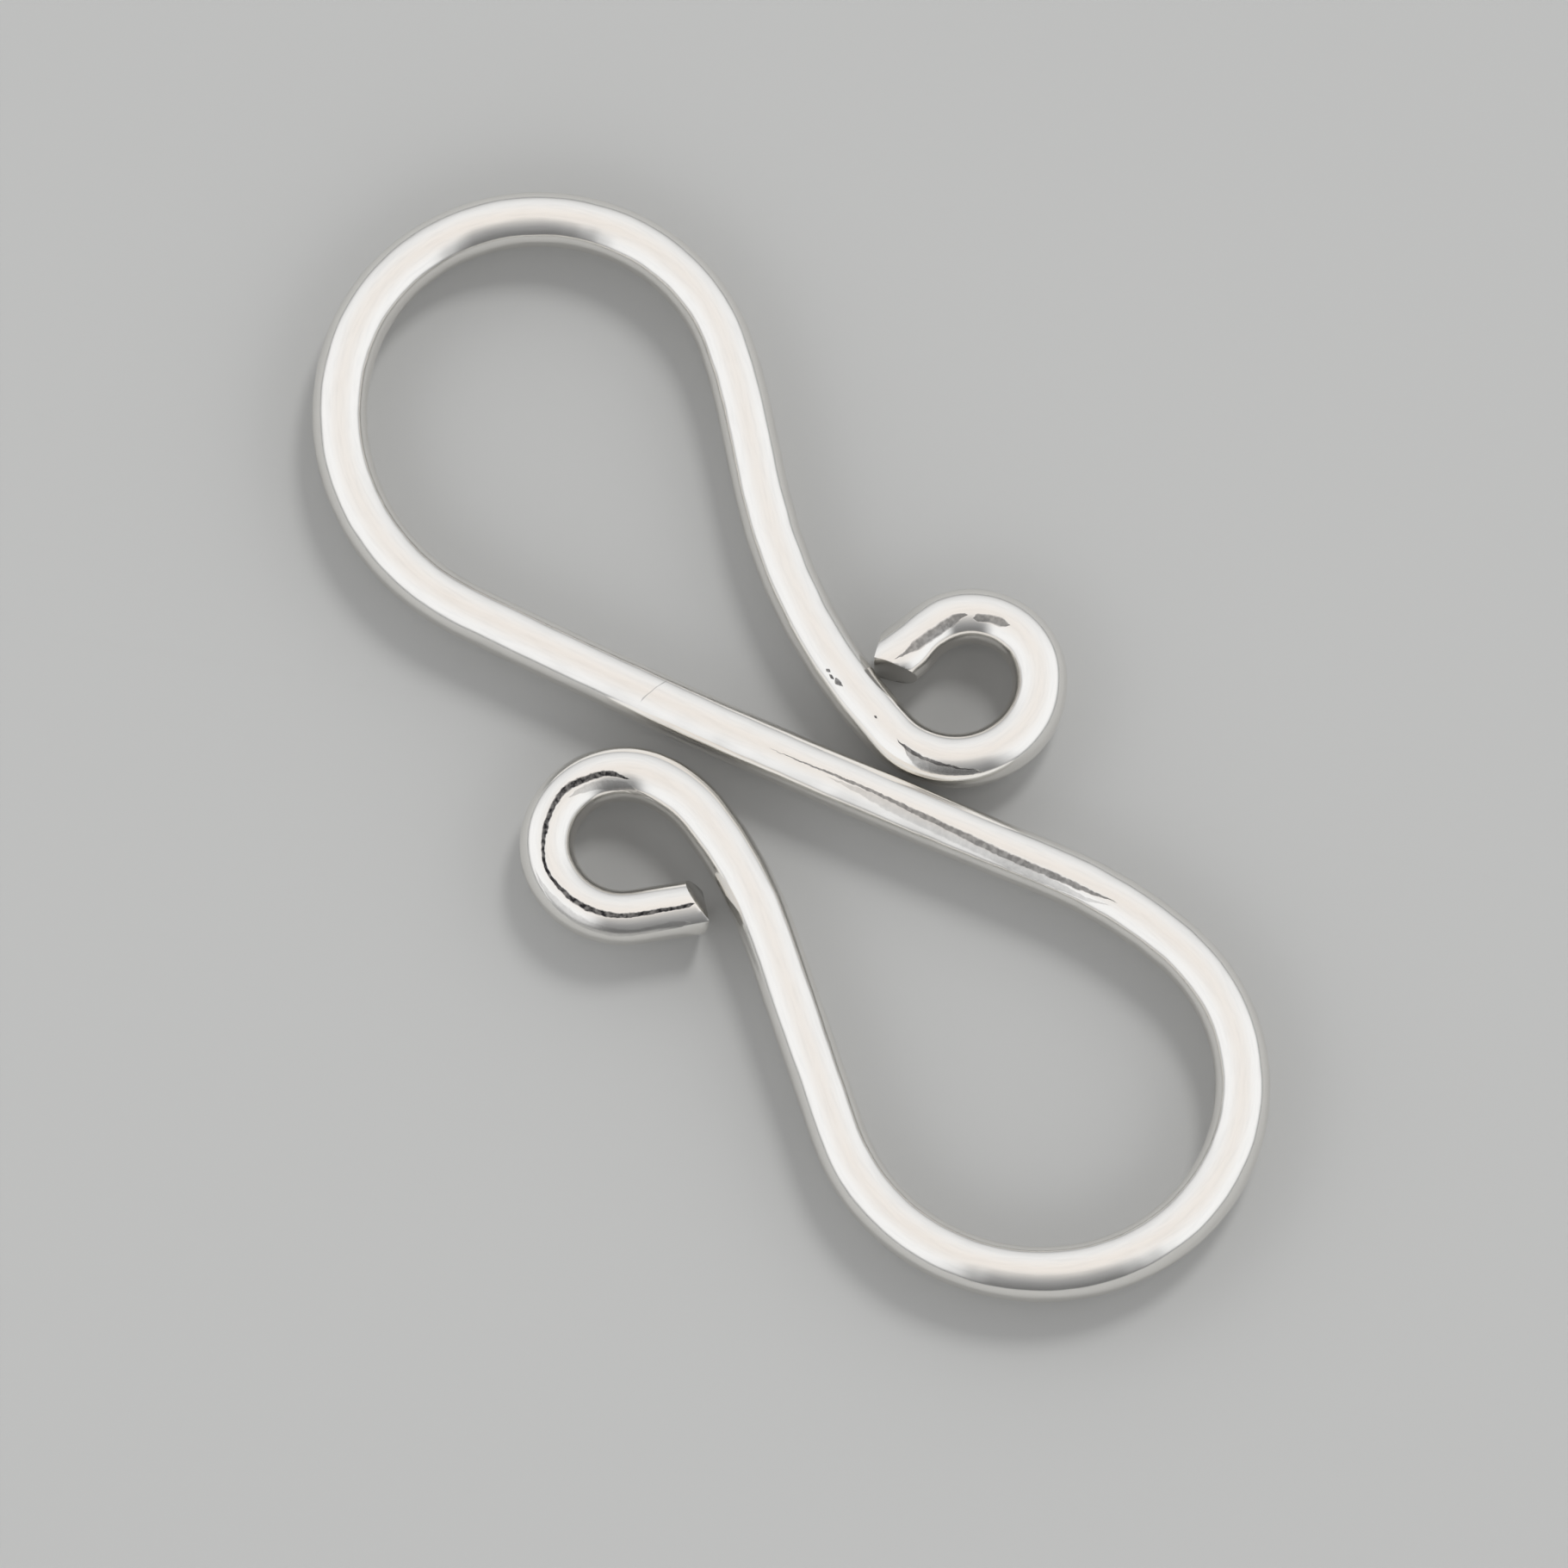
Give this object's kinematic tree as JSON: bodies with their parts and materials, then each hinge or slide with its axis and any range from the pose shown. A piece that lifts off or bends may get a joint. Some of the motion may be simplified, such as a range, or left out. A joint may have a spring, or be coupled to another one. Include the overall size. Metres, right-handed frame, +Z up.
{
  "type": "s-hook clasp",
  "caption": "Flat S-shaped clasp bent from one round wire, with a teardrop hook at each end closed by a small rolled eye.",
  "frame": {"origin": "middle of the clasp's box, on the surface that it lies on", "axes": "+X along the line of pull, from the first hook's crown to the second hook's, +Z up out of the flat of the clasp"},
  "size_m": [0.0246, 0.0108, 0.001],
  "materials": {
    "silver_wire": "polished silver with fine draw lines and plier marks"
  },
  "bodies": {
    "root": {"wire": "silver_wire"}
  },
  "joints": []
}
